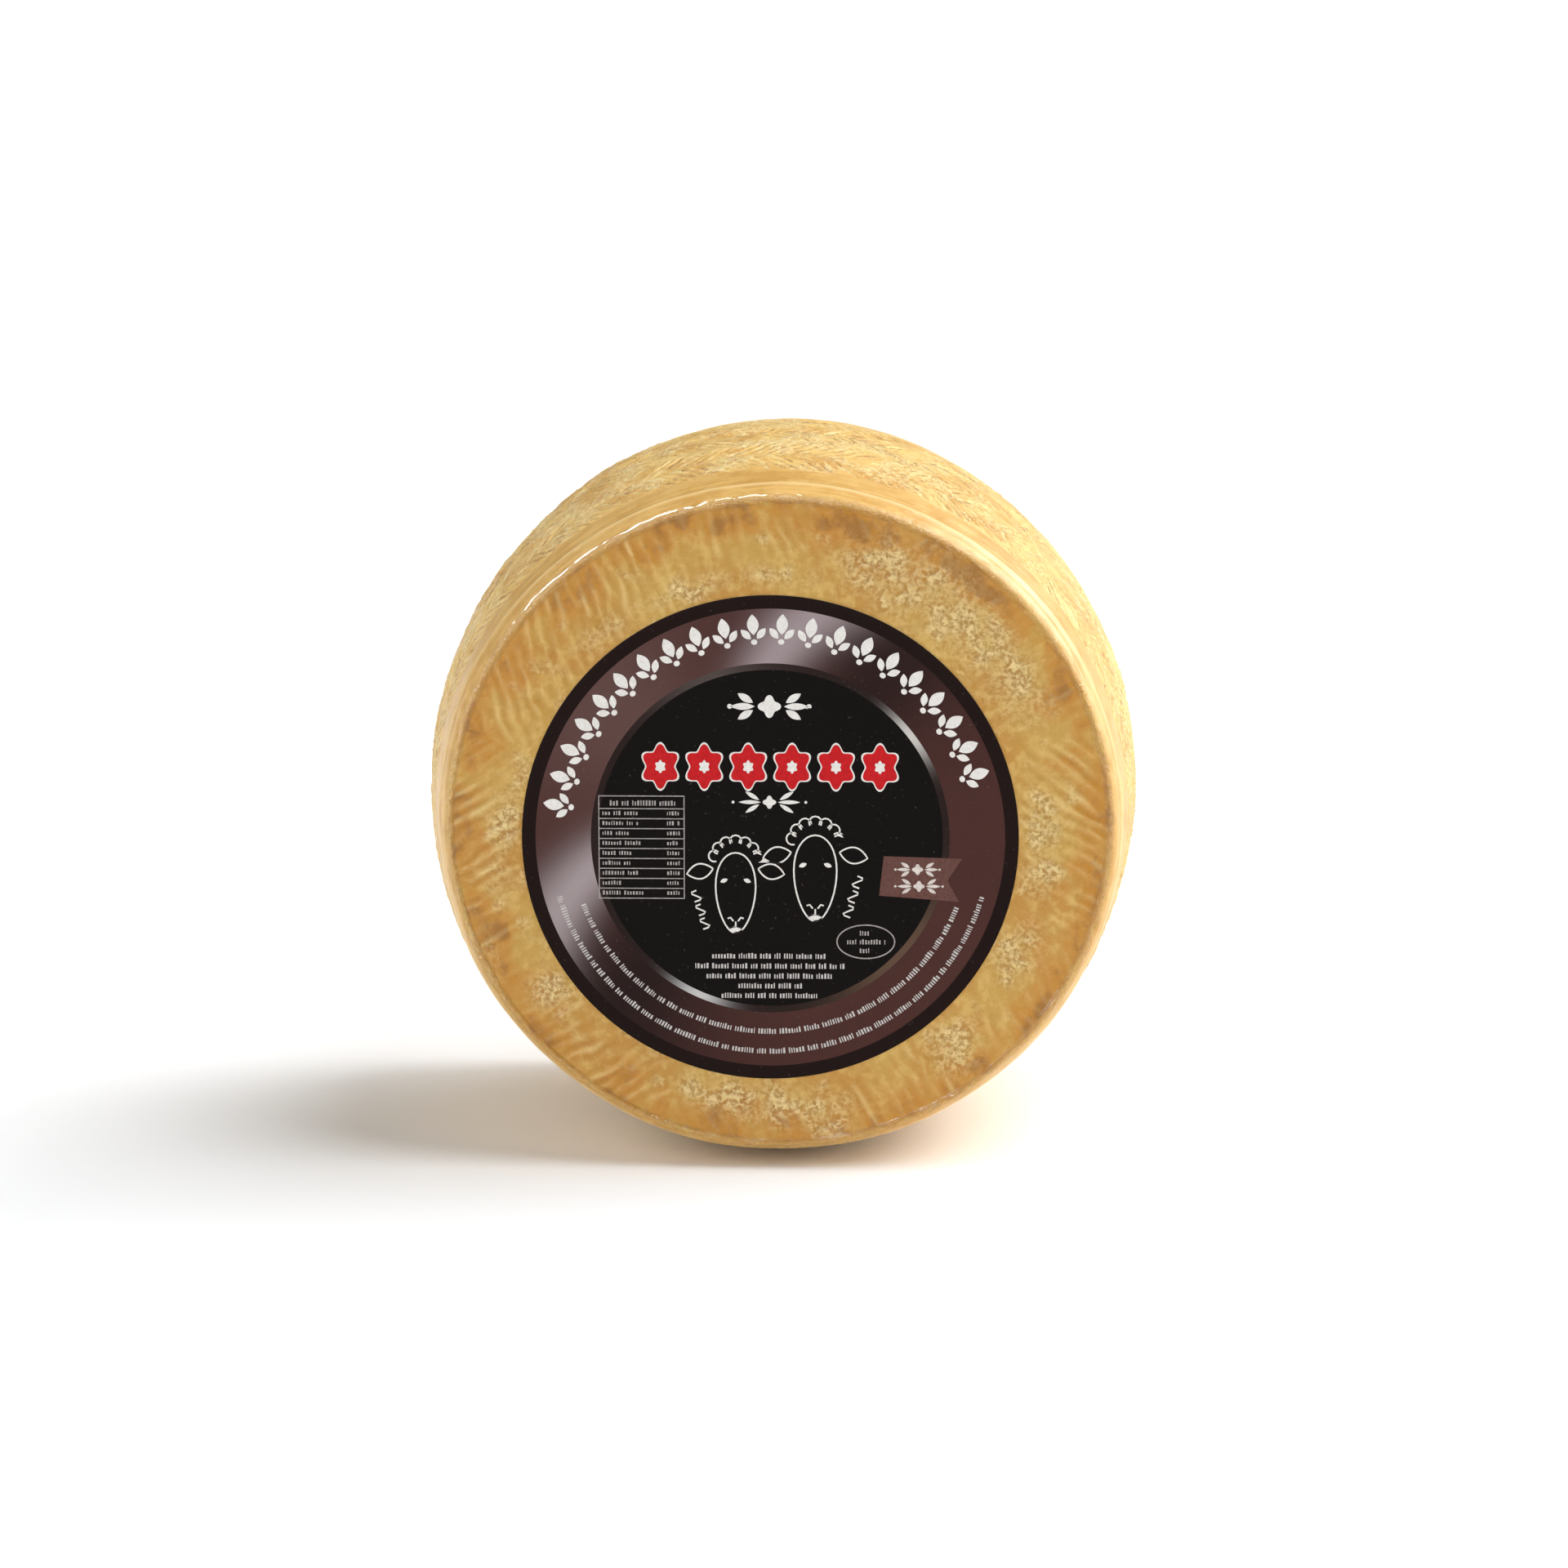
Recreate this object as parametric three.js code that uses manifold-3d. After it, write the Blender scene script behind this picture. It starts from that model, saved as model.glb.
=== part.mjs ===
// A cured sheep's-milk cheese wheel standing on its rim, with a round printed label on its front face.
//
// Millimetres, +Z up. The wheel's axis runs along Y and the labelled face looks towards -Y.
// The origin is on the floor, in the middle of the flat foot that the wheel stands on.

import * as THREE from 'three';
import { mergeVertices } from 'three/addons/utils/BufferGeometryUtils.js';
import Module from 'manifold-3d';

// Wheel
const wheelRadius = 96; // at the fullest point of the barrel-shaped side
const wheelThickness = 112; // from face to face
const sideBulge = 6.7; // how much smaller the radius is at the faces than half way between them
const cornerRadius = 3.5; // rounding between each face and the side
const footHalfWidth = 12.5; // half the width of the flat that the wheel stands on

// Thin raised line that the lid of the mould leaves round each end of the side
const ridgeDepth = 6.8; // behind the face
const ridgeHalfWidth = 1.1;
const ridgeHeight = 0.5;

// Label
const rindBorder = 16; // narrowest ring of bare face left around the label
const labelAcross = -2.5; // the label is stuck on a little off centre, along X
const labelUp = -3.7; // and along Z
const labelThickness = 0.3;
const labelGap = 0.3; // between the face and the film

// Fineness of the facets
const wheelSegments = 96;
const labelSegments = 96;
const cornerSteps = 3;
const sideSteps = 8;

const halfThickness = wheelThickness / 2;
const axisHeight = Math.sqrt(wheelRadius ** 2 - footHalfWidth ** 2);

// Radius of the side at a distance y from the middle of the wheel.
function sideRadius(y) {
  return wheelRadius - sideBulge * (y / halfThickness) ** 2;
}

// How far the side leans in towards the axis, as an angle, where it meets the corner.
const cornerLean = Math.atan((2 * sideBulge) / halfThickness);
const cornerEnd = halfThickness - cornerRadius * (1 - Math.sin(cornerLean));
const flatFaceRadius = sideRadius(cornerEnd) - cornerRadius * Math.cos(cornerLean);

const labelRadius = flatFaceRadius - rindBorder - Math.hypot(labelAcross, labelUp);

// Profile of one half of the wheel, from the middle of its side out to the axis at the face.
// Each point is (radius, distance from the middle).
function halfProfile() {
  const points = [];
  const ridgeMiddle = halfThickness - ridgeDepth;
  const ridgeStart = ridgeMiddle - ridgeHalfWidth;
  const ridgeEnd = ridgeMiddle + ridgeHalfWidth;
  for (let step = 0; step <= sideSteps / 2; step += 1) {
    const y = (ridgeStart * step) / (sideSteps / 2);
    points.push(new THREE.Vector2(sideRadius(y), y));
  }
  points.push(new THREE.Vector2(sideRadius(ridgeMiddle) + ridgeHeight, ridgeMiddle));
  points.push(new THREE.Vector2(sideRadius(ridgeEnd), ridgeEnd));
  for (let step = 0; step <= cornerSteps; step += 1) {
    const turn = cornerLean + ((Math.PI / 2 - cornerLean) * step) / cornerSteps;
    const radius = flatFaceRadius + cornerRadius * Math.cos(turn);
    const y = halfThickness - cornerRadius * (1 - Math.sin(turn));
    points.push(new THREE.Vector2(radius, y));
  }
  points.push(new THREE.Vector2(0, halfThickness));
  return points;
}

// The whole profile runs from the axis at one face, over the side, to the axis at the other.
function wheelProfile() {
  const half = halfProfile();
  const otherHalf = half.slice(1).map((point) => new THREE.Vector2(point.x, -point.y));
  return [...otherHalf.reverse(), ...half];
}

// Keeps the positions alone, so that vertices shared by neighbouring faces can be merged.
function weld(geometry) {
  geometry.deleteAttribute('normal');
  geometry.deleteAttribute('uv');
  return mergeVertices(geometry, 1e-4);
}

const wasm = await Module();
wasm.setup();

function toSolid(geometry) {
  const welded = weld(geometry);
  return new wasm.Manifold(new wasm.Mesh({
    numProp: 3,
    vertProperties: new Float32Array(welded.attributes.position.array),
    triVerts: new Uint32Array(welded.index.array),
  }));
}

function toGeometry(solid) {
  const mesh = solid.getMesh();
  const geometry = new THREE.BufferGeometry();
  geometry.setAttribute('position', new THREE.BufferAttribute(mesh.vertProperties, 3));
  geometry.setIndex(new THREE.BufferAttribute(mesh.triVerts, 1));
  geometry.computeVertexNormals();
  return geometry;
}

// The barrel-shaped wheel, lifted onto its rim and cut flat where it stands on the floor.
function makeCheeseWheel() {
  const barrel = new THREE.LatheGeometry(wheelProfile(), wheelSegments);
  barrel.translate(0, 0, axisHeight);
  const groundDepth = wheelRadius;
  const ground = new THREE.BoxGeometry(2 * wheelRadius, wheelThickness, groundDepth);
  ground.translate(0, 0, -groundDepth / 2);
  const cut = toSolid(barrel).subtract(toSolid(ground));
  const rind = new THREE.MeshStandardMaterial({ color: 0xcda058, roughness: 0.42, metalness: 0 });
  const wheel = new THREE.Mesh(toGeometry(cut), rind);
  wheel.name = 'cheese_wheel';
  return wheel;
}

// The printed film, flat against the front face.
function makeLabel() {
  const disc = new THREE.CylinderGeometry(labelRadius, labelRadius, labelThickness, labelSegments);
  const film = new THREE.MeshStandardMaterial({ color: 0x2a1a18, roughness: 0.25, metalness: 0 });
  const label = new THREE.Mesh(weld(disc), film);
  label.name = 'label';
  label.position.set(labelAcross, -halfThickness - labelGap - labelThickness / 2, axisHeight + labelUp);
  return label;
}

const cheese = new THREE.Group();
cheese.add(makeCheeseWheel(), makeLabel());

export default cheese;
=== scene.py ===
import math
import random

import bmesh
import bpy
from mathutils import Matrix, Vector, noise


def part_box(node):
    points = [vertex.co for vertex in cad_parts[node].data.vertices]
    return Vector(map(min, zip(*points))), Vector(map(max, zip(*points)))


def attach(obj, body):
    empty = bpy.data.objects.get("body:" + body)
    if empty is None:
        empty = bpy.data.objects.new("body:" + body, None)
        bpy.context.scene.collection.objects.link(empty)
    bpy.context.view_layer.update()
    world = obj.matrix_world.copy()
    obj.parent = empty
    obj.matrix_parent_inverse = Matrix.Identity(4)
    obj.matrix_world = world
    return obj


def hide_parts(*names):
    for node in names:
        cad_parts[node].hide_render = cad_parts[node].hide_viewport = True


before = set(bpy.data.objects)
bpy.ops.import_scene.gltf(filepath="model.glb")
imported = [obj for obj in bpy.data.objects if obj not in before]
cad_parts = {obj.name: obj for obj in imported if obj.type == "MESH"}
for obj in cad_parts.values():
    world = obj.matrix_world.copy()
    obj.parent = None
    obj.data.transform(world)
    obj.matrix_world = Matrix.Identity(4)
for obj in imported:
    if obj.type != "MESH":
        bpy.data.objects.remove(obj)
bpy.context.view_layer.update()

mm = 0.001
wheelLow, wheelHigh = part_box("cheese_wheel")
labelLow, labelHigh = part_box("label")

# the sizes that everything below hangs on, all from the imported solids
wheelRadius = (wheelHigh[0] - wheelLow[0]) / 2 / mm
halfThickness = (wheelHigh[1] - wheelLow[1]) / 2 / mm
axisHeight = wheelHigh[2] - wheelRadius * mm
labelRadius = (labelHigh[0] - labelLow[0]) / 2 / mm
labelCentre = Vector(((labelLow[0] + labelHigh[0]) / 2, 0, (labelLow[2] + labelHigh[2]) / 2))
labelAcross = labelCentre.x / mm
labelUp = (labelCentre.z - axisHeight) / mm


def smooth(low, high, value):
    t = min(1.0, max(0.0, (value - low) / (high - low)))
    return t * t * (3 - 2 * t)


def hump(distance, width):
    return math.exp(-(distance / width) ** 2)


def wander(x, y, z, size):  # soft noise from -1 to 1, size in the units of x, y, z
    return noise.noise(Vector((x / size, y / size, z / size)))


def angleGap(a, b):  # shortest way between two angles in degrees
    return (a - b + 180) % 360 - 180


def linear(r, g, b):  # screen colour 0-255 to linear light
    screen = (r / 255, g / 255, b / 255)
    light = [c / 12.92 if c <= 0.04045 else ((c + 0.055) / 1.055) ** 2.4 for c in screen]
    return (*light, 1.0)


def addObject(name, mesh):
    piece = bpy.data.objects.new(name, mesh)
    bpy.context.collection.objects.link(piece)
    return piece


class Wire:
    # one socket of a node tree, so that shader sums read as ordinary sums
    def __init__(self, tree, socket=None):
        self.tree = tree
        self.socket = socket

    def node(self, kind, settings=None, inputs=None, output=0):
        made = self.tree.nodes.new(kind)
        for key, value in (settings or {}).items():
            setattr(made, key, value)
        for key, value in (inputs or {}).items():
            if isinstance(value, Wire):
                self.tree.links.new(value.socket, made.inputs[key])
            else:
                made.inputs[key].default_value = value
        return Wire(self.tree, made.outputs[output])

    def math(self, operation, *values):
        return self.node("ShaderNodeMath", {"operation": operation}, dict(enumerate(values)))

    def __add__(self, other):
        return self.math("ADD", self, other)

    def __radd__(self, other):
        return self.math("ADD", other, self)

    def __sub__(self, other):
        return self.math("SUBTRACT", self, other)

    def __rsub__(self, other):
        return self.math("SUBTRACT", other, self)

    def __mul__(self, other):
        return self.math("MULTIPLY", self, other)

    def __rmul__(self, other):
        return self.math("MULTIPLY", other, self)

    def __truediv__(self, other):
        return self.math("DIVIDE", self, other)

    def __rtruediv__(self, other):
        return self.math("DIVIDE", other, self)

    def __pow__(self, other):
        return self.math("POWER", self, other)

    def __rpow__(self, other):
        return self.math("POWER", other, self)

    def cosine(self):
        return self.math("COSINE", self)

    def size(self):
        return self.math("ABSOLUTE", self)

    def parts(self):  # the three numbers of a vector
        split = self.node("ShaderNodeSeparateXYZ", {}, {0: self})
        return [Wire(self.tree, output) for output in split.socket.node.outputs]

    def step(self, low, high):  # 0 below low, 1 above high, smooth between
        return self.node(
            "ShaderNodeMapRange", {"interpolation_type": "SMOOTHSTEP"}, {0: self, 1: low, 2: high}
        )

    def tint(self, first, second):  # mixes two colours by this value
        return self.node("ShaderNodeMix", {"data_type": "RGBA"}, {0: self, 6: first, 7: second}, 2)


def startMaterial(name):
    material = bpy.data.materials.new(name)
    material.use_nodes = True
    material.node_tree.nodes.clear()
    maker = Wire(material.node_tree)
    place = maker.node("ShaderNodeTexCoord", output=3)
    return material, maker, place


def finishMaterial(maker, settings, normal=None):
    if normal is not None:
        settings["Normal"] = normal
    shader = maker.node("ShaderNodeBsdfPrincipled", {}, settings)
    output = maker.tree.nodes.new("ShaderNodeOutputMaterial")
    maker.tree.links.new(shader.socket, output.inputs[0])


def cloud(maker, place, size, detail=3.0, roughness=0.55):
    # noise with features of a size in millimetres
    inputs = {"Vector": place, "Scale": 1000 / size, "Detail": detail, "Roughness": roughness}
    return maker.node("ShaderNodeTexNoise", {}, inputs)


def stretched(maker, place, steps, detail=3.0):
    # the same, but with its own size along each axis
    wide = [1000 / step for step in steps]
    moved = maker.node("ShaderNodeVectorMath", {"operation": "MULTIPLY"}, {0: place, 1: wide})
    return maker.node("ShaderNodeTexNoise", {}, {"Vector": moved, "Scale": 1.0, "Detail": detail})


def followed(maker, across, along, side, detail):
    # noise that runs along the press marks and strands, with a part of its own for the side
    flow = maker.node("ShaderNodeCombineXYZ", {}, {0: across, 1: along, 2: side * 7})
    return maker.node("ShaderNodeTexNoise", {}, {"Vector": flow, "Scale": 1.0, "Detail": detail})


def carried(maker, name):  # the three numbers that the mesh carries under a name
    return maker.node("ShaderNodeAttribute", {"attribute_name": name}, output=1).parts()


view = {
    "distance": 1.824,
    "azimuth": 1.2,       # degrees to the right of the front
    "elevation": 13.0,
    "fieldOfView": 13.43,
    "aimBelowAxis": 1.7,  # millimetres
}


def outwards(turn, rise):  # direction from degrees round the wheel's front and degrees up
    turn, rise = math.radians(turn), math.radians(rise)
    return Vector((math.sin(turn) * math.cos(rise), -math.cos(turn) * math.cos(rise), math.sin(rise)))


def addCamera():
    aim = Vector((0, 0, axisHeight - view["aimBelowAxis"] * mm))
    back = outwards(view["azimuth"], view["elevation"])
    data = bpy.data.cameras.new("camera")
    data.sensor_width = 36
    data.lens = data.sensor_width / 2 / math.tan(math.radians(view["fieldOfView"]) / 2)
    data.clip_end = 50
    camera = bpy.data.objects.new("camera", data)
    camera.location = aim + back * view["distance"]
    camera.rotation_euler = back.to_track_quat("Z", "Y").to_euler()
    bpy.context.collection.objects.link(camera)
    bpy.context.scene.camera = camera


studio = {
    "worldColour": (0.8, 0.9, 1, 1),
    "worldStrength": 0.16,
    "floorHalfWidth": 9,    # metres
}

lamps = {  # degrees round the wheel from its front, degrees up, spread, strength
    "keyRight": (84, 55, 48, 2.4),
    "fillFront": (-25, 20, 60, 0.7),
    "fillLeft": (-82, 23, 60, 1.05),
    "rimRight": (116, 22, 50, 2.2),
    "glintTop": (-30, 74, 16, 3.2),  # the glints light no surface, they only shine on wet ones
    "glintLeft": (-62, 58, 16, 4.6),
    "glintLow": (-79, 38, 16, 3.4),
    "glintBack": (127, 33, 40, 1.7),
}


def addLights():
    for name, (turn, rise, spread, strength) in lamps.items():
        away = outwards(turn, rise)
        data = bpy.data.lights.new(name, "SUN")
        data.angle = math.radians(spread)
        data.energy = strength
        lamp = bpy.data.objects.new(name, data)
        lamp.visible_diffuse = not name.startswith("glint")
        lamp.rotation_euler = away.to_track_quat("Z", "Y").to_euler()
        bpy.context.collection.objects.link(lamp)
    world = bpy.data.worlds.new("studio")
    bpy.context.scene.world = world
    world.use_nodes = True
    background = world.node_tree.nodes["Background"]
    background.inputs["Color"].default_value = studio["worldColour"]
    background.inputs["Strength"].default_value = studio["worldStrength"]
    bpy.context.scene.view_settings.view_transform = "Standard"


def addFloor():
    build = bmesh.new()
    bmesh.ops.create_grid(build, x_segments=2, y_segments=2, size=studio["floorHalfWidth"])
    mesh = bpy.data.meshes.new("floor")
    build.to_mesh(mesh)
    build.free()
    floor = addObject("floor", mesh)
    material, maker, place = startMaterial("paleFloor")
    shade = cloud(maker, place, 400).tint(linear(251, 251, 251), linear(253, 253, 253))
    finishMaterial(maker, {"Base Color": shade, "Roughness": 0.7, "Specular IOR Level": 0.0})
    mesh.materials.append(material)


addCamera()
addLights()
addFloor()
print("camera, lights and floor")


wheel = {
    "turns": 600,            # steps round the axis
    "sideBulge": 6.7,        # the side is this much smaller in radius at the faces, in millimetres
    "cornerRadius": 3.5,
    "faceRings": 26,         # over the ring of face that shows round the label
    "cornerRings": 6,
    "shoulderRings": 11,     # over the smooth band beside each face
    "sideRings": 70,         # over the plaited part of the side
    "backRings": 32,
    "smoothBand": 17.5,      # the plaited marks start this far behind each face
    "ridgeDepth": 6.8,       # the fine line left by the lid of the mould
    "ridgeHeight": 0.45,
    "groovePitch": 3.5,      # press marks on the faces
    "strandCount": 178,      # plaited strands round the side
    "strandSlant": 50,       # degrees off the way round
    "plaitBands": 6,
}

# press marks run parallel in each sector: start, end, direction, in degrees about the label
sectors = [(70, 160, 110), (160, 250, 211), (250, 340, 300), (340, 380, -34), (380, 430, 36)]

rindColours = {
    "pale": (197, 154, 68),       # waxy yellow near the label
    "straw": (190, 136, 48),
    "cream": (218, 178, 96),
    "amber": (194, 130, 30),      # towards the edge
    "brown": (154, 100, 22),
    "flake": (247, 221, 152),     # dry crumbs and worn ridges
    "wall": (241, 198, 106),      # the side
    "wallGold": (219, 163, 64),
    "wallBrown": (160, 104, 36),
    "band": (205, 153, 70),       # smooth band beside the faces
    "bandPale": (231, 187, 108),
    "mouldLine": (248, 217, 156),
}

rindFinish = {
    "bump": 0.85,
    "subsurface": 0.15,
    "bleed": (1.0, 0.5, 0.18),   # how far red, green and blue light spread under the rind
    "bleedScale": 2.5,           # millimetres
    "ior": 1.42,
    "coatRoughness": 0.1,        # the wet film
}

# where the press marks are deep: angle, half width, strength
strongMarks = [
    (181, 13, 1.0), (5, 12, 0.8), (232, 16, 0.6), (296, 12, 0.5), (140, 22, 0.6), (112, 12, 0.5),
]

# crumbly pale patches on the labelled face:
# angle, distance from the middle of the label, half sizes, strength
patches = [
    (34, 77.0, 8, 6.5, 0.9), (46, 76.5, 9, 7.0, 1.0), (61, 78.5, 11, 8.0, 1.0),
    (70, 77.0, 6, 6.0, 0.7), (3, 72.5, 7, 4.0, 0.9), (352, 73.0, 5, 4.0, 0.9),
    (335, 73.0, 6, 5.5, 0.7), (311, 75.0, 5, 6.0, 0.9), (281, 77.5, 5, 5.5, 0.9),
    (272, 73.5, 5, 5.0, 1.0), (262, 72.5, 6, 4.5, 1.0), (254, 72.0, 4, 3.5, 0.6),
    (216, 72.5, 4, 5.0, 0.8), (203, 82.5, 6, 3.0, 0.35), (190, 73.0, 4, 3.5, 0.5),
    (177, 71.0, 6, 3.2, 0.9), (166, 69.0, 6, 2.5, 0.6), (128, 70.5, 7, 3.0, 0.45),
    (108, 71.0, 8, 3.0, 0.55), (88, 71.0, 8, 3.0, 0.4),
]

# amber and brown stains on the same face:
# angle, distance from the wheel's axis, half sizes, strength
stains = [
    (52, 84.0, 14, 4.6, 1.15), (75, 83, 14, 5.0, 1.05), (28, 84, 9, 4.0, 0.95),
    (14, 86, 9, 3.0, 0.7), (96, 82, 8, 5.5, 0.95), (112, 82, 6, 6.0, 0.95),
    (130, 83, 5, 6.5, 0.8), (146, 84, 7, 5.0, 0.8), (160, 86, 5, 3.5, 0.6),
    (199, 80, 6, 3.0, 0.9), (208, 84, 6, 4.0, 0.9), (222, 86, 8, 4.0, 1.0),
    (238, 88, 9, 4.0, 0.95), (256, 89, 9, 3.0, 0.8), (292, 86, 8, 4.5, 0.85),
    (311, 84, 6, 5.0, 0.9), (327, 86, 7, 4.0, 0.9), (344, 87, 7, 3.5, 0.75),
    (62, 77, 4, 4.0, 0.5), (350, 78, 5, 4.0, 0.5),
]


def sideRadius(y):
    return wheelRadius - wheel["sideBulge"] * (y / halfThickness) ** 2


cornerLean = math.atan(2 * wheel["sideBulge"] / halfThickness)
cornerEnd = halfThickness - wheel["cornerRadius"] * (1 - math.sin(cornerLean))
flatRadius = sideRadius(cornerEnd) - wheel["cornerRadius"] * math.cos(cornerLean)


def spaced(start, end, count):
    return [start + (end - start) * i / count for i in range(count)]


def wheelProfile():
    rings = []
    corner, reach = wheel["cornerRadius"], halfThickness - wheel["smoothBand"]
    hidden = labelRadius - math.hypot(labelAcross, labelUp) - 2
    rings += [(0, -halfThickness), (hidden * 0.5, -halfThickness)]
    rings += [(r, -halfThickness) for r in spaced(hidden, flatRadius, wheel["faceRings"])]
    leans = spaced(math.pi / 2, cornerLean, wheel["cornerRings"])
    bend = []
    for a in leans:
        bend.append((flatRadius + corner * math.cos(a), halfThickness - corner * (1 - math.sin(a))))
    rings += [(r, -y) for r, y in bend]
    shoulder = spaced(cornerEnd, reach, wheel["shoulderRings"])
    side = spaced(-reach, reach, wheel["sideRings"])
    rings += [(sideRadius(y), -y) for y in shoulder]
    rings += [(sideRadius(y), y) for y in side]
    rings += [(sideRadius(y), y) for y in [reach] + shoulder[:0:-1] + [cornerEnd]]
    rings += [(r, y) for r, y in bend[::-1]]
    rings += [(r, halfThickness) for r in spaced(flatRadius, 3, wheel["backRings"])[1:]]
    rings += [(3, halfThickness), (0, halfThickness)]
    return rings


def pressMarks(x, z, r, angle, labelled):
    # where the point lies across the parallel press marks of its sector, and how strong they are
    for start, end, direction in sectors:
        if start <= angle < end or start <= angle + 360 < end:
            break
    edge = min(abs(angleGap(angle, start)), abs(angleGap(angle, end)))
    lean = math.radians(direction)
    drift = 0.5 * wander(x, z, 3.7, 14) + 0.2 * wander(x, z, 6.1, 5)
    across = (z * math.cos(lean) - x * math.sin(lean)) / wheel["groovePitch"] + drift
    amount = smooth(0.5, 2.2, math.radians(edge) * r) * (0.65 + 0.8 * wander(across, r / 16, 8.0, 0.9))
    if labelled:
        patchy = smooth(-0.5, 0.35, wander(x, z, 11.0, 12))
        strong = sum(weight * hump(angleGap(angle, place), wide) for place, wide, weight in strongMarks)
        amount *= min(1.0, 0.08 + 0.24 * patchy + 0.8 * strong)
    else:
        amount *= 0.3 + 0.5 * smooth(-0.5, 0.3, wander(x, z, 31.0, 18))
    return across, max(0.0, amount)


def faceField(x, z, labelled):
    fromAxis = math.hypot(x, z)
    lx, lz = (x - labelAcross, z - labelUp) if labelled else (x, z)
    r = math.hypot(lx, lz)
    angle = math.degrees(math.atan2(lz, lx)) % 360
    across, amount = pressMarks(lx, lz, r, angle, labelled)
    inside = flatRadius - fromAxis
    amount *= smooth(-2.5, 1.5, inside)
    crumb = 0.0
    warm = 0.7 * smooth(-6, 14, 12 - inside + 8 * wander(x, z, 17.0, 10))
    if labelled:
        for place, out, wide, deep, strength in patches:
            crumb = max(crumb, strength * hump(angleGap(angle, place), wide) * hump(r - out, deep))
        for place, out, wide, deep, strength in stains:
            warm = max(warm, strength * hump(angleGap(angle, place), wide) * hump(fromAxis - out, deep))
        amount *= smooth(labelRadius - 1, labelRadius + 3, r)
        crumb += 0.35 * smooth(0.15, 0.5, wander(x, z, 5.0, 5)) * smooth(3, 9, inside)
    else:
        crumb = 0.9 * smooth(0.12, 0.45, wander(x, z, 8.0, 16)) * smooth(3, 9, inside)
        warm = max(warm, 0.6 * smooth(0.15, 0.6, wander(x, z, 19.0, 24)))
        amount *= smooth(4, 12, r)
    crumb = min(1.0, crumb * (0.55 + 1.1 * smooth(-0.3, 0.4, wander(x, z, 2.0, 4.5))))
    pulse = (0.5 + 0.5 * math.cos(2 * math.pi * across)) ** 2.2
    height = amount * (0.5 * pulse - 0.22)
    height += crumb * (0.3 * wander(x, z, 9.0, 2.1) - 0.05)
    height += 0.34 * wander(x, z, 1.0, 20) + 0.12 * wander(x, z, 6.0, 6) + 0.06 * wander(x, z, 7.0, 2.6)
    if labelled:
        height *= smooth(labelRadius - 0.5, labelRadius + 2.5, r)
    return height, across, amount, crumb, warm


bandWidth = 2 * (halfThickness - wheel["smoothBand"]) / wheel["plaitBands"]
slant = math.radians(wheel["strandSlant"])
strandPitch = 2 * math.pi * wheelRadius * math.sin(slant) / wheel["strandCount"]


def sideField(y, turn):
    # turn is the angle round the axis in degrees from the foot
    depth = halfThickness - abs(y)
    way = math.radians(turn) * wheelRadius
    start = wheel["smoothBand"] + 0.9 * wander(way, 0, 4.0 + (y > 0), 16)
    ridge = hump(depth - wheel["ridgeDepth"] - 0.35 * wander(way, 9.0, y > 0, 25), 0.85)
    lines = 0.10 * math.cos(2 * math.pi * depth / 2.3) * hump(depth - 9.5, 5.5)
    height = wheel["ridgeHeight"] * ridge + lines + 0.12 * wander(way, depth * 2.5, 7.0, 9)
    height += 0.45 * wander(way, y, 30.0, 34)
    along = (y + halfThickness - wheel["smoothBand"]) + 0.8 * wander(way, 3.0, 2.0, 16)
    band = math.floor(along / bandWidth)
    within = along - band * bandWidth
    fromCrease = min(within, bandWidth - within)
    lean = 1 if band % 2 else -1
    across = wheel["strandCount"] * turn / 360 + lean * along * math.cos(slant) / strandPitch
    across += 0.45 * wander(way, y, 14.0, 8) + 0.2 * wander(way, y, 24.0, 3.5)
    plaited = smooth(-0.2, 1.6, depth - start)
    worn = smooth(-0.4, 0.25, wander(way, y * 1.3, 50.0, 11))
    worn *= smooth(-0.45, 0.15, wander(way, y, 54.0, 4))
    amount = plaited * smooth(0.25, 1.5, fromCrease) * (0.15 + 0.85 * worn)
    amount *= smooth(0.4, 1.2, min(turn, 360 - turn))
    pulse = (0.5 + 0.5 * math.cos(2 * math.pi * across)) ** 1.6
    height += amount * (0.55 * pulse - 0.28)
    crease = plaited * hump(fromCrease, 0.8) + 0.7 * hump(depth - start, 0.8)
    height -= 0.3 * crease * (0.5 + 0.5 * smooth(-0.3, 0.3, wander(way, y, 70.0, 13)))
    crumb = plaited * (0.35 + 0.6 * smooth(-0.1, 0.4, wander(way, y, 60.0, 8)))
    height += plaited * (0.16 * wander(way, y, 90.0, 2.3) + 0.2 * wander(way, y, 95.0, 5.5))
    # random warm tone, and darker along the creases of the plait: painted shade
    warm = 0.3 + 0.5 * wander(way, y, 77.0, 16) + 0.3 * crease
    return height, across, amount, crumb, warm, 1 - plaited


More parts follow.
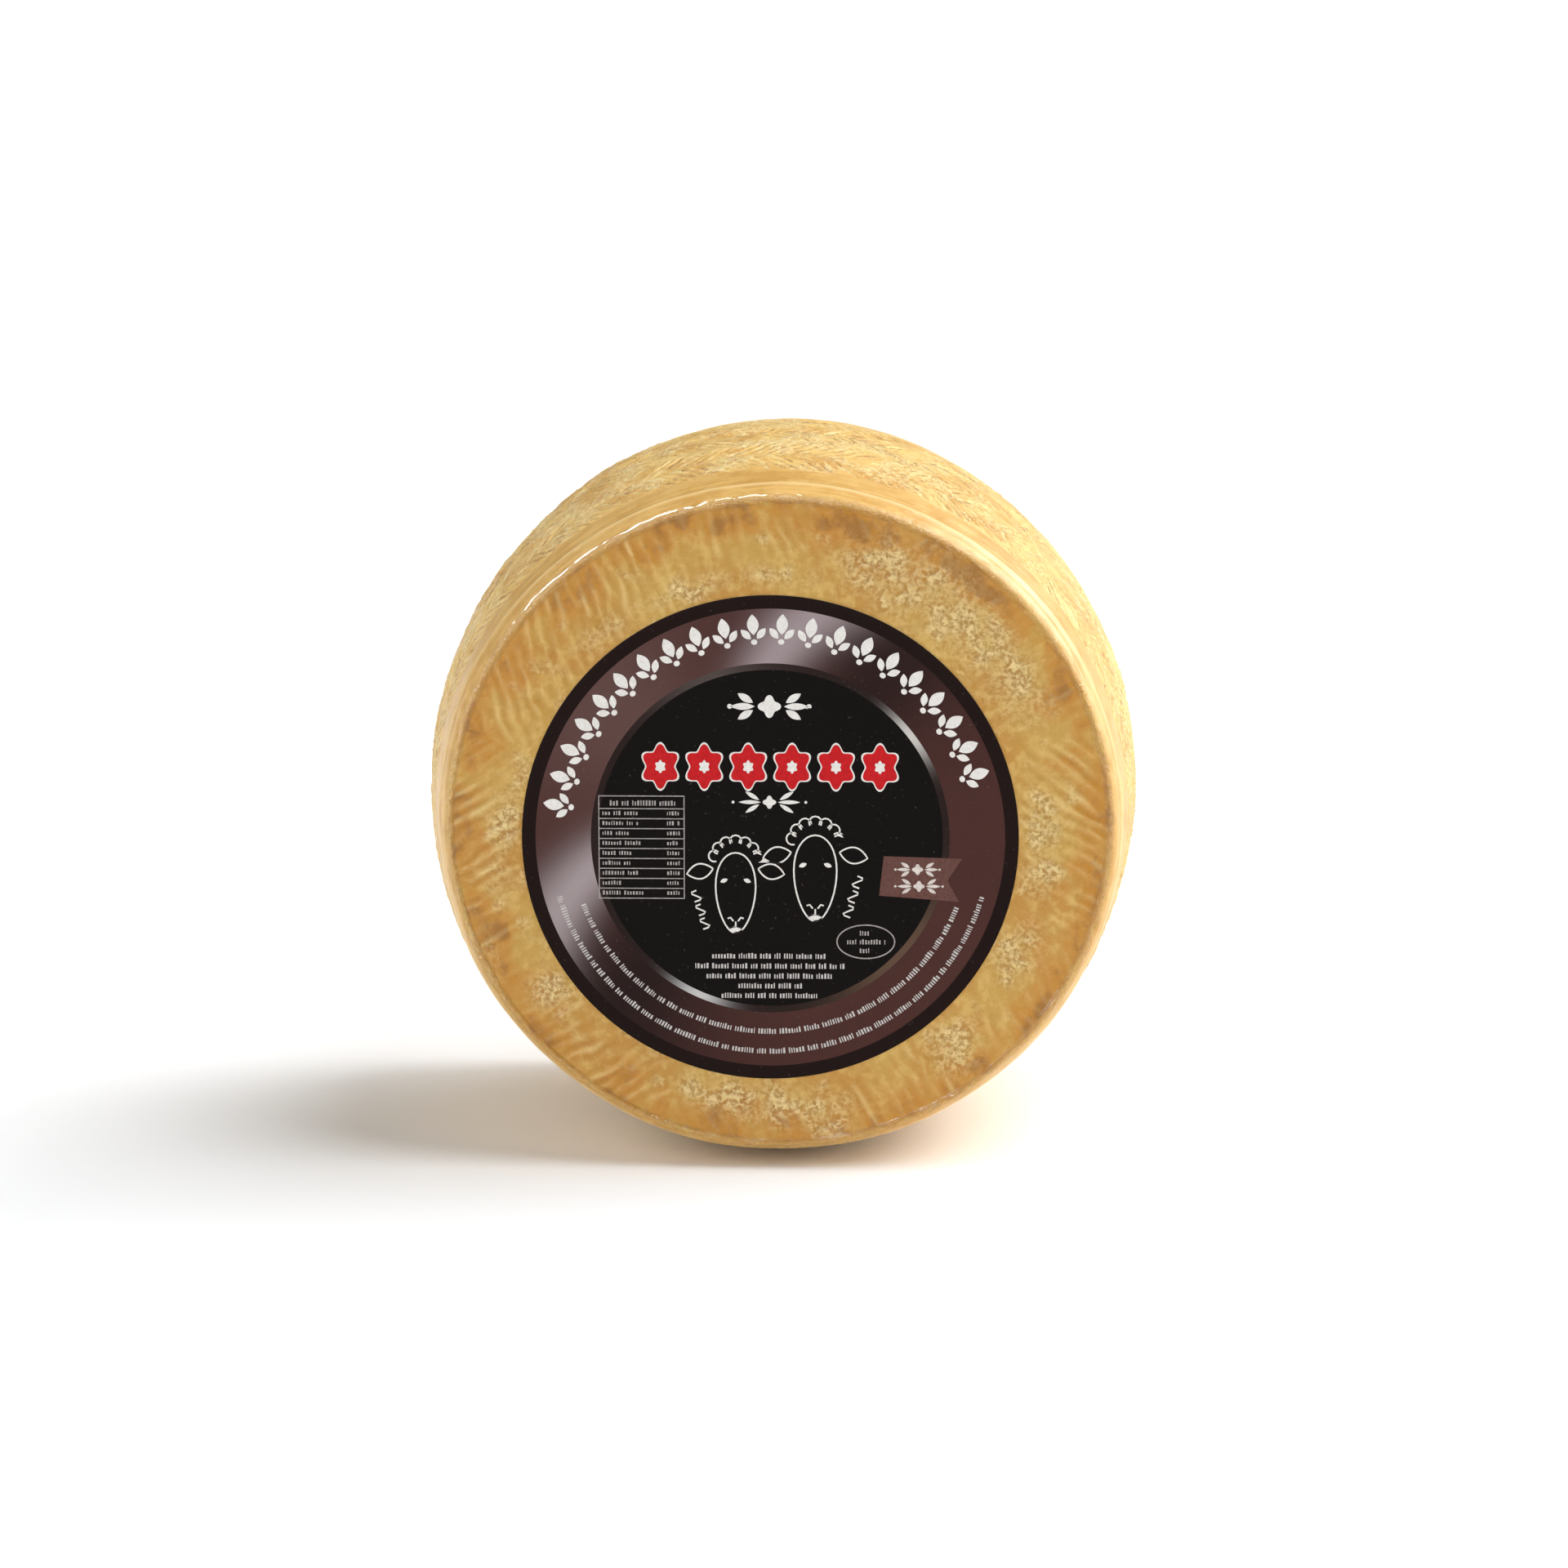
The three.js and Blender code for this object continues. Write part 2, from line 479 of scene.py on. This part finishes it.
def buildWheel():
    build = bmesh.new()
    chain = [build.verts.new((r * mm, y * mm, axisHeight)) for r, y in wheelProfile()]
    edges = [build.edges.new(pair) for pair in zip(chain, chain[1:])]
    bmesh.ops.spin(
        build, geom=chain + edges, cent=(0, 0, axisHeight), axis=(0, 1, 0), dvec=(0, 0, 0),
        angle=2 * math.pi, steps=wheel["turns"], use_merge=True, use_duplicate=False,
    )
    bmesh.ops.remove_doubles(build, verts=build.verts, dist=0.01 * mm)
    bmesh.ops.recalc_face_normals(build, faces=build.faces)
    build.normal_update()
    marks = build.verts.layers.float_vector.new("marks")  # across, amount, crumb
    tones = build.verts.layers.float_vector.new("tones")  # warm, smooth band, side
    for vert in build.verts:
        x, y, z = vert.co.x / mm, vert.co.y / mm, (vert.co.z - axisHeight) / mm
        r = math.hypot(x, z)
        turn = math.degrees(math.atan2(x, -z)) % 360
        onSide = smooth(flatRadius - 0.1, flatRadius + wheel["cornerRadius"] * 0.9, r)
        height, across, amount, crumb, warm, band = 0, 0, 0, 0, 0.3, 0
        if onSide < 1:
            height, across, amount, crumb, warm = faceField(x, z, y < 0)
        if onSide > 0:
            sideHeight, sideAcross, sideAmount, sideCrumb, sideWarm, sideBand = sideField(y, turn)
            height += (sideHeight - height) * onSide
            warm += (sideWarm - warm) * onSide
            band = sideBand * onSide
            if onSide > 0.5:
                across, amount, crumb = sideAcross, sideAmount, sideCrumb
        rim = 4 * onSide * (1 - onSide)
        height += rim * (0.45 * wander(x, z, y, 5) + 0.35 * wander(x, z, y, 2.6))
        vert[marks] = (across, amount, crumb)
        vert[tones] = (warm, band, onSide)
        vert.co += vert.normal * height * mm
        vert.co.z = max(vert.co.z, 0.0)
    mesh = bpy.data.meshes.new("rind")
    build.to_mesh(mesh)
    build.free()
    for face in mesh.polygons:
        face.use_smooth = True
    return addObject("cheese_rind", mesh)


def rindMaterial():
    material, maker, place = startMaterial("curedRind")
    tone = {name: linear(*colour) for name, colour in rindColours.items()}
    across, amount, crumb = carried(maker, "marks")
    warm, band, side = carried(maker, "tones")
    x, y, z = place.parts()
    z = z - axisHeight
    # millimetres, outwards on the faces and backwards on the side
    along = ((x * x + z * z) ** 0.5 + y) * 1000

    broad = cloud(maker, place, 26, 2.0)
    blotch = cloud(maker, place, 9, 4.0, 0.6)
    mottle = cloud(maker, place, 3.2, 3.0, 0.6)
    grain = cloud(maker, place, 1.1, 4.0, 0.65)
    fine = cloud(maker, place, 0.35, 2.0)
    crust = cloud(maker, place, 1.7, 3.5, 0.62)
    streak = followed(maker, across * 0.6, along / 13, side, 3.0)
    fleck = followed(maker, across * 1.7, along / 7, side, 4.0)
    threads = stretched(maker, place, (22, 0.9, 22))  # fine lines round the side

    wave = (across * (2 * math.pi)).cosine() * 0.5 + 0.5
    ridge = wave ** 1.7 * amount
    trough = (1 - wave) ** 4.0 * amount
    corner = side * (1 - side) * 4
    # millimetres from the mould line
    offLine = (halfThickness - (y * 1000).size() - wheel["ridgeDepth"]).size()
    speck = (crust * 0.5 + grain * 0.5).step(0.42, 0.58)
    crumbly = crumb * speck
    pits = crumb * (1 - speck) * (1 - side * 0.6)

    face = broad.step(0.35, 0.65).tint(tone["pale"], tone["straw"])
    face = (mottle.step(0.46, 0.68) * 0.6).tint(face, tone["cream"])
    heat = warm + (blotch - 0.5) * 1.5 + (streak - 0.5) * (warm * 1.3 + 0.4)
    face = (heat.step(0.15, 0.75) * 0.85).tint(face, tone["amber"])
    face = ((heat + (mottle - 0.5) * 0.9).step(0.6, 1.05) * 0.85).tint(face, tone["brown"])
    # darker in the troughs of the press marks: painted shade
    face = (trough * 0.3).tint(face, tone["brown"])
    face = (ridge * (fleck * 0.5 + streak * 0.5).step(0.4, 0.62) * 0.72).tint(face, tone["flake"])

    wall = (broad * 0.5 + blotch * 0.5).step(0.38, 0.62).tint(tone["wall"], tone["wallGold"])
    wall = (heat.step(0.4, 1.0) * 0.5).tint(wall, tone["amber"])
    # dark slits in the troughs of the plait: painted shade
    slitShade = trough * (fleck * 0.5 + streak * 0.5).step(0.38, 0.55) * 1.5
    wall = slitShade.tint(wall, tone["wallBrown"])
    wall = ((1 - fleck.step(0.32, 0.42)) * 0.6).tint(wall, tone["wallBrown"])
    wall = (fleck.step(0.54, 0.66) * 0.75).tint(wall, tone["flake"])
    smoothBand = (threads * 0.36 + blotch * 0.64).step(0.38, 0.62)
    smoothBand = smoothBand.tint(tone["band"], tone["bandPale"])
    smoothBand = ((1 - offLine.step(0.4, 1.5)) * 0.7).tint(smoothBand, tone["mouldLine"])
    wall = (band * 0.9).tint(wall, smoothBand)

    colour = side.tint(face, wall)
    colour = (pits * 0.42).tint(colour, tone["brown"])
    colour = (crumbly * 0.78).tint(colour, tone["flake"])

    relief = ridge * 0.2 - trough * 0.1 + crumbly * 0.3 - pits * 0.05 + grain * 0.1 + fine * 0.02
    relief = relief + mottle * 0.3 + (crust * 1.2 + grain * 0.9) * corner
    relief = relief + threads * band * 0.05 + fleck * side * (1 - band) * 0.3
    inputs = {"Strength": rindFinish["bump"], "Distance": 1.0 * mm, "Height": relief}
    bump = maker.node("ShaderNodeBump", {}, inputs)
    roughness = mottle * 0.25 + 0.18 + crumb * 0.28 + side * 0.1 - corner * 0.16
    finishMaterial(maker, {
        "Base Color": colour, "Roughness": roughness, "IOR": rindFinish["ior"],
        "Subsurface Weight": rindFinish["subsurface"], "Subsurface Radius": rindFinish["bleed"],
        "Subsurface Scale": rindFinish["bleedScale"] * mm,
        "Coat Weight": blotch * 0.3 + corner * 0.6, "Coat Roughness": rindFinish["coatRoughness"],
    }, bump)
    return material


rind = buildWheel()
rind.data.materials.append(rindMaterial())
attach(rind, "root")
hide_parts("cheese_wheel")
print("wheel", len(rind.data.polygons), "faces")


label = {
    "sides": 192,
    "thickness": 0.14,     # millimetres
    "lift": 0.22,          # height of its face above the flat of the cheese
    "borderInside": 0.945,  # the zones end at these shares of the label's radius
    "ringInside": 0.722,
    "bevelInside": 0.695,
    "swirl": 0.9,           # how far the pale rays of the ring, painted highlights, turn between its edges
    "bump": 0.35,
    "shine": 0.07,
}

# printed brown and black, with sheen painted in: pale rays and glints are painted highlights, dark rays
# painted shade; degrees round the label, sharpness, strength, colour
ringPrintAndSheen = [
    (140, 8, 0.5, (112, 86, 82)), (57, 14, 0.85, (33, 20, 18)), (228, 9, 0.9, (32, 20, 19)),
]
bevelPrintAndGlints = [
    (318, 12, 0.8, (104, 80, 64)), (37, 90, 0.95, (206, 200, 194)),
    (246, 90, 0.95, (200, 198, 196)), (110, 20, 0.6, (96, 84, 80)),
]
labelTop = -(halfThickness + label["lift"])  # y of the printed surface, in millimetres
turnUpright = Matrix.Rotation(math.pi / 2, 3, "X")  # lays flat work against the front face


def buildLabel():
    build = bmesh.new()
    bmesh.ops.create_circle(build, cap_ends=True, segments=label["sides"], radius=labelRadius * mm)
    face = build.faces[:][0]
    outer = 1.0
    for number, key in enumerate(("borderInside", "ringInside", "bevelInside")):
        depth = (outer - label[key]) * labelRadius * mm
        bmesh.ops.inset_individual(build, faces=[face], thickness=depth, use_even_offset=True)
        for strip in [near for edge in face.edges for near in edge.link_faces]:
            if strip is not face:
                strip.material_index = number
        outer = label[key]
    face.material_index = 3
    bmesh.ops.solidify(build, geom=build.faces[:], thickness=label["thickness"] * mm)
    bmesh.ops.recalc_face_normals(build, faces=build.faces)
    build.normal_update()
    for side in build.faces:
        if abs(side.normal.z) < 0.5:
            side.material_index = 4
    top = max(vert.co.z for vert in build.verts)
    bmesh.ops.rotate(build, verts=build.verts, matrix=turnUpright)
    shift = (labelCentre.x, labelTop * mm + top, labelCentre.z)
    bmesh.ops.translate(build, verts=build.verts, vec=shift)
    mesh = bpy.data.meshes.new("label")
    build.to_mesh(mesh)
    build.free()
    return addObject("label_film", mesh)


def polar(maker, place):
    # angle in radians round the label, anticlockwise from the right, and share of its radius
    x, y, z = place.parts()
    x, z = x - labelCentre.x, z - labelCentre.z
    return z.math("ARCTAN2", z, x), (x * x + z * z) ** 0.5 / (labelRadius * mm)


def ray(angle, middle, sharpness):  # bright from one direction, fading evenly both ways
    turned = angle - math.radians(middle)
    return turned.math("MAXIMUM", turned.math("COSINE", turned), 0.0) ** sharpness


def shaded(colour, angle, shades):
    for middle, sharpness, strength, shade in shades:
        colour = (ray(angle, middle, sharpness) * strength).tint(colour, linear(*shade))
    return colour


def filmSurface(maker, place, colour, roughness=0.2):
    # printed film: fine grain in the print, and soft waves where it lies on the cheese
    grain = cloud(maker, place, 0.5, 3.0)
    waves = cloud(maker, place, 16, 1.5)
    dust = cloud(maker, place, 0.9, 1.0).step(0.7, 0.82)
    colour = (dust * 0.18).tint(colour, linear(120, 110, 104))
    height = waves * 0.5 + grain * 0.012
    inputs = {"Strength": label["bump"], "Distance": 1.0 * mm, "Height": height}
    bump = maker.node("ShaderNodeBump", {}, inputs)
    rough = grain * 0.12 + dust * 0.2 + (roughness - 0.06)
    settings = {"Base Color": colour, "Roughness": rough, "Specular IOR Level": label["shine"]}
    finishMaterial(maker, settings, bump)


def labelMaterials():
    made = []
    material, maker, place = startMaterial("printBorder")
    filmSurface(maker, place, cloud(maker, place, 20).tint(linear(24, 11, 8), linear(30, 16, 13)))
    made.append(material)

    material, maker, place = startMaterial("printRingWithSheen")
    angle, share = polar(maker, place)
    brown = cloud(maker, place, 30).tint(linear(70, 41, 37), linear(78, 48, 43))
    colour = shaded(brown, angle, ringPrintAndSheen)
    swirl = (share - label["ringInside"]) * label["swirl"]
    # pale rays across the ring: painted highlights
    colour = shaded(colour, angle + swirl, [(90, 60, 0.85, (168, 152, 154))])
    colour = shaded(colour, angle - swirl, [(190, 60, 0.9, (170, 156, 157))])
    filmSurface(maker, place, colour)
    made.append(material)

    material, maker, place = startMaterial("printBevelWithGlints")
    angle, share = polar(maker, place)
    colour = cloud(maker, place, 20).tint(linear(44, 30, 27), linear(34, 24, 22))
    # white glints and dark rays on the bevel ring: painted highlights and painted shade
    filmSurface(maker, place, shaded(colour, angle, bevelPrintAndGlints))
    made.append(material)

    material, maker, place = startMaterial("printMiddle")
    filmSurface(maker, place, cloud(maker, place, 25).tint(linear(9, 5, 3), linear(14, 9, 7)))
    made.append(material)

    material, maker, place = startMaterial("filmEdge")
    colour = cloud(maker, place, 3).tint(linear(196, 176, 140), linear(222, 204, 170))
    filmSurface(maker, place, colour, 0.4)
    made.append(material)
    return made


film = buildLabel()
for material in labelMaterials():
    film.data.materials.append(material)
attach(film, "root")
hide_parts("label")
print("label film")


inks = {
    "depth": 0.03,         # how far ink stands off the film, in millimetres
    "strokeWidth": 0.42,
    "sprigs": 21,
    "garlandStart": 171,   # degrees, from the left end over the top to the right end
    "garlandEnd": 18,
    "garlandBase": 0.8,    # share of the label's radius
    "sprigHeight": 8.2,
    "smallPrint": ((0.80, 200, 341), (0.883, 196, 345)),  # radius share, start and end angles
    "lines": ((-32.1, 31), (-34.85, 40), (-37.6, 34), (-40.3, 17), (-43.0, 26)),  # height, length
    "flourishes": (((-0.2, 36.0), 25, 6.2), ((-0.2, 10.0), 23, 3.6)),  # middle, width, height
    "ribbonFlourishes": (((39.2, -8.2), 14, 3.0), ((39.6, -12.8), 15, 3.0)),
    "sheep": (((-9.2, -13.6), 1.25, -1), ((12.0, -9.4), 1.34, 1)),  # middle, scale, side of the wool
    "blossoms": 6,
    "blossomStep": 11.65,
    "blossomHeight": 19.6,
    "blossomOutline": (11.3, 13.3),   # width and height
    "blossomSize": (10.2, 12.2),
    "blossomHeart": (3.0, 3.6),
    "stamp": (25.5, -28.1),
    "bump": 0.2,
    "shine": 0.15,
    "seed": 7,
}

table = {
    "left": -45.4,
    "right": -23.0,
    "top": 11.4,
    "low": -16.3,
    "heading": 3.2,
    "rows": 9,
    "pen": 0.26,
    "gap": 0.05,        # kept between the rules, so that none overlap
    "firstMarks": 6.3,  # foot of the marks in the first row
    "markStep": 2.72,
}

inkColours = {
    "white": (linear(236, 232, 226), linear(224, 219, 212)),
    "red": (linear(205, 20, 26), linear(186, 14, 22)),
    "grey": (linear(206, 200, 196), linear(186, 180, 176)),
    "darkGrey": (linear(178, 170, 166), linear(150, 142, 138)),
    "brown": (linear(106, 70, 62), linear(94, 60, 53)),
    "cream": (linear(226, 216, 208), linear(206, 196, 188)),
}


def leafShape(base, direction, long, wide, sides=7):
    # pointed leaf from its base along a direction in degrees
    way = Vector((math.cos(math.radians(direction)), math.sin(math.radians(direction))))
    across = Vector((-way.y, way.x))
    swell = [math.sin(math.pi * i / sides) ** 0.85 * wide / 2 for i in range(sides + 1)]
    spine = [Vector(base) + way * (long * i / sides) for i in range(sides + 1)]
    left = [point + across * half for point, half in zip(spine, swell)]
    right = [point - across * half for point, half in zip(spine, swell)]
    return left + right[-2:0:-1]


def ellipseShape(middle, wide, high, sides=28):
    turns = [2 * math.pi * i / sides for i in range(sides)]
    across, up = middle
    return [Vector((across + wide / 2 * math.cos(t), up + high / 2 * math.sin(t))) for t in turns]


def boxShape(left, low, right, high):
    return [Vector((left, low)), Vector((right, low)), Vector((right, high)), Vector((left, high))]


def lineShape(points, width):
    # closed outline of an even pen stroke through the points
    points = [Vector(point) for point in points]
    left, right = [], []
    for number, point in enumerate(points):
        before, after = points[max(0, number - 1)], points[min(len(points) - 1, number + 1)]
        way = (after - before).normalized()
        side = Vector((-way.y, way.x)) * width / 2
        left.append(point + side)
        right.append(point - side)
    return left + right[::-1]


def outline(shape, width):
    return lineShape(shape + shape[:1], width)


def placed(shape, middle, scale=1.0):
    return [Vector(middle) + Vector(point) * scale for point in shape]


def alongArc(shape, radius, angle):
    # x runs clockwise round the label, y outwards from the radius
    out = Vector((math.cos(angle), math.sin(angle)))
    return [out * (radius + p.y) + Vector((out.y, -out.x)) * p.x for p in shape]


def garland():
    shapes = []
    base = inks["garlandBase"] * labelRadius
    tall = inks["sprigHeight"]
    for number in range(inks["sprigs"]):
        share = number / (inks["sprigs"] - 1)
        angle = math.radians(inks["garlandStart"] + (inks["garlandEnd"] - inks["garlandStart"]) * share)
        sprig = [leafShape((0, 2.6), 90, tall - 2.6, 3.1), ellipseShape((0, 0.7), 1.7, 1.5, 12)]
        for side in (-1, 1):
            sprig.append(leafShape((side * 0.8, 1.5), 90 - side * 42, 3.7, 1.9))
        shapes += [alongArc(shape, base, angle) for shape in sprig]
    return shapes


def tickMarks(long, tall, chance):
    # small upright marks in groups, as the grey texture of fine print, with nothing to read
    marks, at = [], 0.0
    while at < long - 0.5:
        for _ in range(chance.randint(3, 9)):
            wide = chance.uniform(0.24, 0.55)
            if at + wide > long:
                break
            marks.append(boxShape(at, 0, at + wide, tall * chance.uniform(0.72, 1.0)))
            at += wide + 0.34
        at += 0.65
    return marks


def smallPrint(chance):
    shapes = []
    for share, start, end in inks["smallPrint"]:
        radius = share * labelRadius
        for mark in tickMarks(math.radians(end - start) * radius, 1.55, chance):
            middle = (mark[0].x + mark[1].x) / 2
            angle = math.radians(start) + middle / radius
            local = [Vector((middle - p.x, -p.y)) for p in mark]
            shapes.append(alongArc(local, radius + 0.8, angle))
    for v, wide in inks["lines"]:
        shapes += [placed(mark, (-wide / 2, v - 0.75)) for mark in tickMarks(wide, 1.5, chance)]
    return shapes


def flourish(middle, wide, tall):
    # small symmetrical ornament: a lozenge, leaves and dots
    shapes = [placed(rosette(4, 0.35), middle, tall / 2)]
    for side in (-1, 1):
        lean = 90 - side * 90
        at = (middle[0] + side * tall * 0.62, middle[1])
        shapes.append(leafShape(at, lean, wide * 0.26, tall * 0.3))
        for tip in (-1, 1):
            start = (at[0] + side * wide * 0.02, at[1] + tip * tall * 0.16)
            shapes.append(leafShape(start, lean + side * tip * 32, wide * 0.19, tall * 0.32))
        dot = (middle[0] + side * wide * 0.42, middle[1])
        shapes.append(ellipseShape(dot, tall * 0.22, tall * 0.22, 10))
    return shapes


def rosette(petals, depth, sides=48):
    turns = [2 * math.pi * i / sides for i in range(sides)]
    reach = [1 - depth / 2 + depth / 2 * math.cos(petals * t) for t in turns]
    return [Vector((r * math.sin(t), r * math.cos(t))) for t, r in zip(turns, reach)]


def blossoms(wide, tall):
    # a row of blossoms with six petals across the middle of the label
    shapes = []
    up, count = inks["blossomHeight"], inks["blossoms"]
    for number in range(count):
        across = (number - (count - 1) / 2) * inks["blossomStep"]
        petals = rosette(6, 0.28, 72)
        shapes.append([Vector((across + p.x * wide / 2, up + p.y * tall / 2)) for p in petals])
    return shapes


def sheepHead(middle, scale, side):
    pen = inks["strokeWidth"] / scale
    turns = [2 * math.pi * i / 36 for i in range(36)]
    face = [Vector(((4.2 + 0.75 * math.sin(t)) * math.cos(t), 8.8 * math.sin(t) - 1)) for t in turns]
    shapes = [outline(face, pen)]
    for way in (-1, 1):
        shapes.append(outline(leafShape((way * 4.8, 4.3), 90 - way * 102, 5.7, 3.3, 10), pen))
        shapes.append(leafShape((way * 1.7, 2.0), 90 - way * 112, 1.7, 0.9))
        shapes.append(lineShape([(way * 0.5, -7.2), (way * 1.1, -6.4), (way * 1.7, -6.6)], pen))
    shapes.append(lineShape([(0, -7.3), (0, -8.4)], pen))
    mouth = [(-1.5, -8.9), (-0.6, -8.5), (0, -8.4), (0.6, -8.5), (1.5, -8.9)]
    shapes.append(lineShape(mouth, pen * 0.8))
    for number in range(7):  # woolly fringe over the brow
        lean = math.radians(168 - number * 26)
        curl = (4.6 * math.cos(lean), 6.2 + 4.2 * math.sin(lean))
        bend = [math.radians(math.degrees(lean) - 120 + 30 * i) for i in range(9)]
        points = [(curl[0] + 1.25 * math.cos(b), curl[1] + 1.25 * math.sin(b)) for b in bend]
        shapes.append(lineShape(points, pen))
    for number in range(3):  # and down the neck
        at = (side * (8.4 - number * 0.9), -0.5 - number * 3.0)
        wave = [(at[0] + side * 1.1 * math.sin(i * 1.1), at[1] - 0.42 * i) for i in range(7)]
        shapes.append(lineShape(wave, pen))
    return [placed(shape, middle, scale) for shape in shapes]


def tableRules():
    left, right, top, low = table["left"], table["right"], table["top"], table["low"]
    rows, pen, gap = table["rows"], table["pen"], table["gap"]
    sides = [(left - pen, left), (right, right + pen)]
    shapes = [boxShape(start, low - pen, end, top + pen) for start, end in sides]
    first = top - table["heading"]
    heights = [low, top + pen] + [first - (first - low) * number / rows for number in range(rows)]
    return shapes + [boxShape(left + gap, v - pen, right - gap, v) for v in heights]


def tableMarks(chance):
    shapes = []
    for number in range(table["rows"]):
        v = table["firstMarks"] - number * table["markStep"]
        shapes += [placed(m, (-44.6, v)) for m in tickMarks(chance.uniform(5, 13), 1.15, chance)]
        shapes += [placed(m, (-27.4, v)) for m in tickMarks(3.4, 1.15, chance)]
    shapes += [placed(m, (-42.6, 8.9)) for m in tickMarks(17.5, 1.5, chance)]
    return shapes


def stamp(chance):
    across, up = inks["stamp"]
    shapes = [outline(ellipseShape((across, up), 15.4, 9.2, 40), 0.32)]
    for left, rise, long in ((-5, -0.7, 10.5), (-1.6, 1.7, 3.2), (-1.6, -3.1, 3.2)):
        shapes += [placed(m, (across + left, up + rise)) for m in tickMarks(long, 1.4, chance)]
    return shapes


def ribbonShape():
    points = [(30.2, -4.6), (51.0, -5.2), (47.2, -11.2), (50.2, -17.0), (29.0, -15.4)]
    return [Vector(point) for point in points]


def drawInk(name, shapes, lift, colours):
    curve = bpy.data.curves.new(name, "CURVE")
    curve.dimensions = "2D"
    curve.fill_mode = "BOTH"
    curve.extrude = lift / 2
    for shape in shapes:
        spline = curve.splines.new("POLY")
        spline.points.add(len(shape) - 1)
        for point, place in zip(spline.points, shape):
            point.co = (place[0], place[1], 0, 1)
        spline.use_cyclic_u = True
    pen = addObject(name + "_curve", curve)
    mesh = bpy.data.meshes.new_from_object(pen.evaluated_get(bpy.context.evaluated_depsgraph_get()))
    bpy.data.objects.remove(pen)
    shift = Matrix.Translation((labelCentre.x, (labelTop - lift / 2 + 0.004) * mm, labelCentre.z))
    mesh.transform(shift @ turnUpright.to_4x4() @ Matrix.Scale(mm, 4))
    build = bmesh.new()
    build.from_mesh(mesh)
    bmesh.ops.remove_doubles(build, verts=build.verts, dist=0.001 * mm)
    bmesh.ops.recalc_face_normals(build, faces=build.faces)
    build.to_mesh(mesh)
    build.free()
    piece = addObject(name, mesh)
    material, maker, place = startMaterial(name + "Ink")
    grain = cloud(maker, place, 0.7, 3.0)
    inputs = {"Strength": inks["bump"], "Distance": 0.1 * mm, "Height": grain}
    bump = maker.node("ShaderNodeBump", {}, inputs)
    finishMaterial(maker, {
        "Base Color": grain.step(0.3, 0.7).tint(*colours), "Roughness": grain * 0.15 + 0.25,
        "Specular IOR Level": inks["shine"],
    }, bump)
    mesh.materials.clear()
    mesh.materials.append(material)
    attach(piece, "root")


def printLabel():
    chance = random.Random(inks["seed"])
    thin = inks["depth"]
    white = garland()
    for middle, wide, tall in inks["flourishes"]:
        white += flourish(middle, wide, tall)
    for middle, scale, side in inks["sheep"]:
        white += sheepHead(middle, scale, side)
    white += blossoms(*inks["blossomOutline"])
    drawInk("white_ornaments", white, thin, inkColours["white"])
    drawInk("red_blossoms", blossoms(*inks["blossomSize"]), thin * 2, inkColours["red"])
    drawInk("blossom_hearts", blossoms(*inks["blossomHeart"]), thin * 3, inkColours["white"])
    drawInk("fine_print_marks", smallPrint(chance), thin, inkColours["grey"])
    stampShapes = stamp(chance)
    rules = tableRules() + tableMarks(chance) + stampShapes
    drawInk("table_rules", rules, thin, inkColours["darkGrey"])
    drawInk("brown_ribbon", [ribbonShape()], thin, inkColours["brown"])
    leaves = []
    for middle, wide, tall in inks["ribbonFlourishes"]:
        leaves += flourish(middle, wide, tall)
    drawInk("ribbon_sprigs", leaves, thin * 2, inkColours["cream"])


printLabel()
print("label print")
